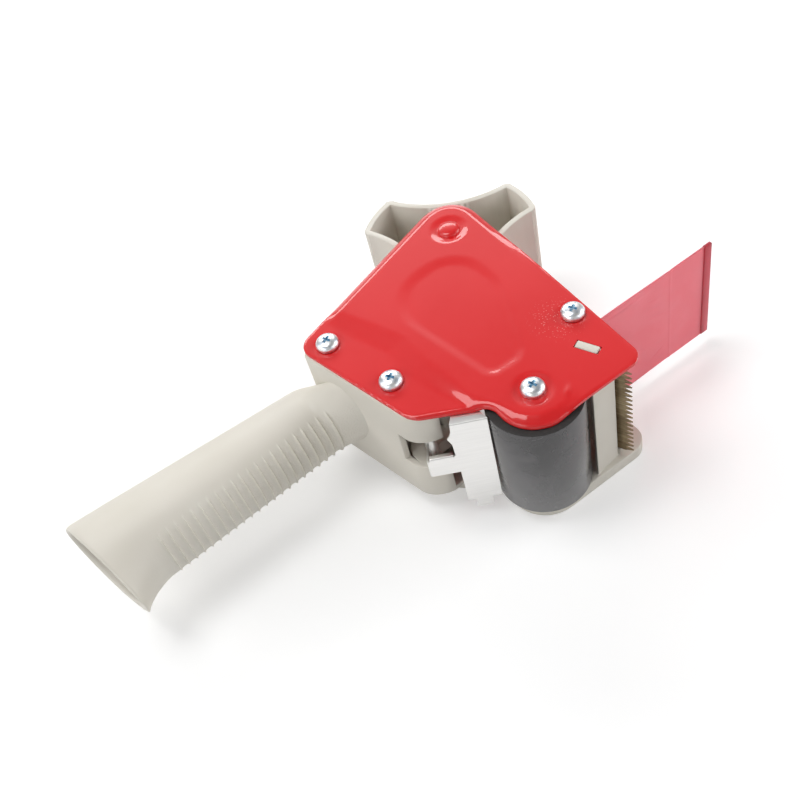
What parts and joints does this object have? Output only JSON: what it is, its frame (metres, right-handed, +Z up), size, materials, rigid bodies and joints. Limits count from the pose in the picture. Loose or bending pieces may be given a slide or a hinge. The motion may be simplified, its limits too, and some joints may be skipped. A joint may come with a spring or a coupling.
{
  "type": "hand-held packing tape dispenser",
  "caption": "Hand-held packing tape dispenser with a ribbed pistol handle, pressed side plate, lobed tape hub, rubber roller, toothed blade, sprung tape retainer and a flexible wiper flap.",
  "frame": {"origin": "roller axis at the underside of the base, which the dispenser lies on", "axes": "+X along the handle from its open end towards the head and flap, +Y from the front edge towards the tape hub, +Z up along the roller and hub axes, out of the side plate"},
  "size_m": [0.2654, 0.1472, 0.0647],
  "materials": {
    "beige_plastic": "moulded, fine matt texture",
    "red_enamel": "gloss baked enamel",
    "zinc_plate": "bright zinc plated",
    "bright_steel": "bright nickel plated sheet",
    "spring_steel": "drawn wire",
    "blade_steel": "bronze coloured hardened strip",
    "black_rubber": "ground rubber with smudges",
    "black_plastic": "moulded",
    "sintered_bronze": "sintered",
    "white_nylon": "moulded",
    "red_vinyl": "translucent flexible sheet"
  },
  "bodies": {
    "body": {"frame": "beige_plastic", "handle": "beige_plastic", "side_plate": "red_enamel", "case_screws": "zinc_plate", "roller_screw": "zinc_plate", "roller_spindle": "bright_steel", "thrust_washers": "zinc_plate", "hub_stud": "red_enamel", "brake_washer": "zinc_plate", "brake_spring": "spring_steel", "spring_cup": "zinc_plate", "adjusting_nut": "zinc_plate", "blade": "blade_steel", "blade_rivets": "zinc_plate", "retainer_pin": "zinc_plate", "retainer_spring": "spring_steel"},
    "hub": {"hub": "beige_plastic", "hub_bush": "white_nylon"},
    "roller": {"roller_core": "black_plastic", "roller_bushes": "sintered_bronze", "roller_sleeve": "black_rubber"},
    "retainer": {"retainer": "bright_steel"},
    "flap": {"wiper_flap": "red_vinyl"}
  },
  "joints": [
    {"name": "hub_spin", "type": "hinge", "parent": "body", "child": "hub", "pos_m": [0.03, 0.0905, 0.03], "axis": [0, 0, 1], "continuous": true},
    {"name": "roller_spin", "type": "hinge", "parent": "body", "child": "roller", "pos_m": [0, 0, 0.03], "axis": [0, 0, 1], "continuous": true},
    {"name": "retainer_pivot", "type": "hinge", "parent": "body", "child": "retainer", "pos_m": [-0.03348, 0.02513, 0.034], "axis": [0, 0, 1], "range_deg": [-28, 0], "stiffness_Nm_per_rad": 0.05, "springref_deg": 17.19},
    {"name": "flap_flex", "type": "hinge", "parent": "body", "child": "flap", "pos_m": [0.038, 0.0105, 0.03], "axis": [0, 0, 1], "range_deg": [-25, 25], "stiffness_Nm_per_rad": 0.08}
  ]
}
